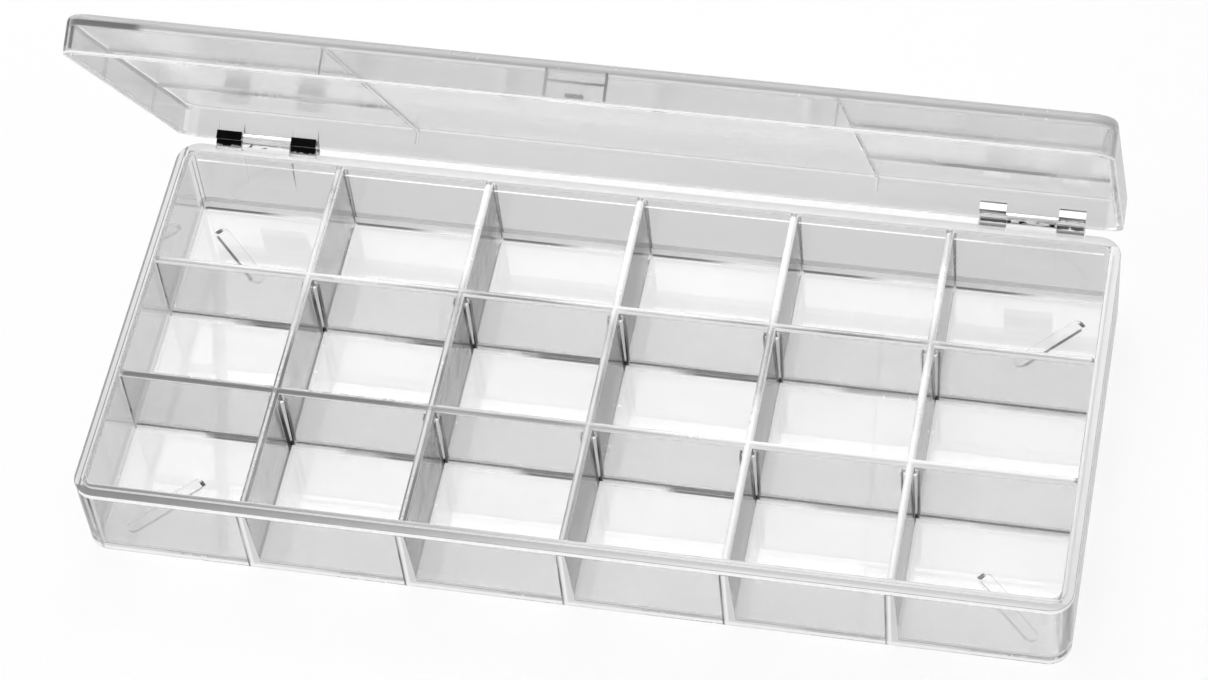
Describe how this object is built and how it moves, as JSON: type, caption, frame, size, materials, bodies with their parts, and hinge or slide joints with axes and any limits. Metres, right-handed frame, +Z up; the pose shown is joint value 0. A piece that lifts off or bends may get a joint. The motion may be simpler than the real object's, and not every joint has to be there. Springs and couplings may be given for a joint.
{
  "type": "compartment storage box",
  "caption": "Clear plastic box with a grid of small open compartments for beads, and one shallow lid hinged on steel pins along the back.",
  "frame": {"origin": "centre of the flat underside of the tray, between the four feet", "axes": "+X along the box to its right end as seen from the front, +Y to the hinges at the back, +Z up"},
  "size_m": [0.21, 0.1028, 0.1106],
  "materials": {
    "clear_plastic": "clear moulded polystyrene, glossy, with slightly frosted edges",
    "pin_steel": "plain drawn steel wire"
  },
  "bodies": {
    "tray": {"tray": "clear_plastic"},
    "lid": {"lid": "clear_plastic", "hinge_pin_left": "pin_steel", "hinge_pin_right": "pin_steel"}
  },
  "joints": [
    {"name": "lid_hinge", "type": "hinge", "parent": "tray", "child": "lid", "pos_m": [0, 0.0488, 0.0221], "axis": [-1, 0, 0], "range_deg": [-61, 119]}
  ]
}
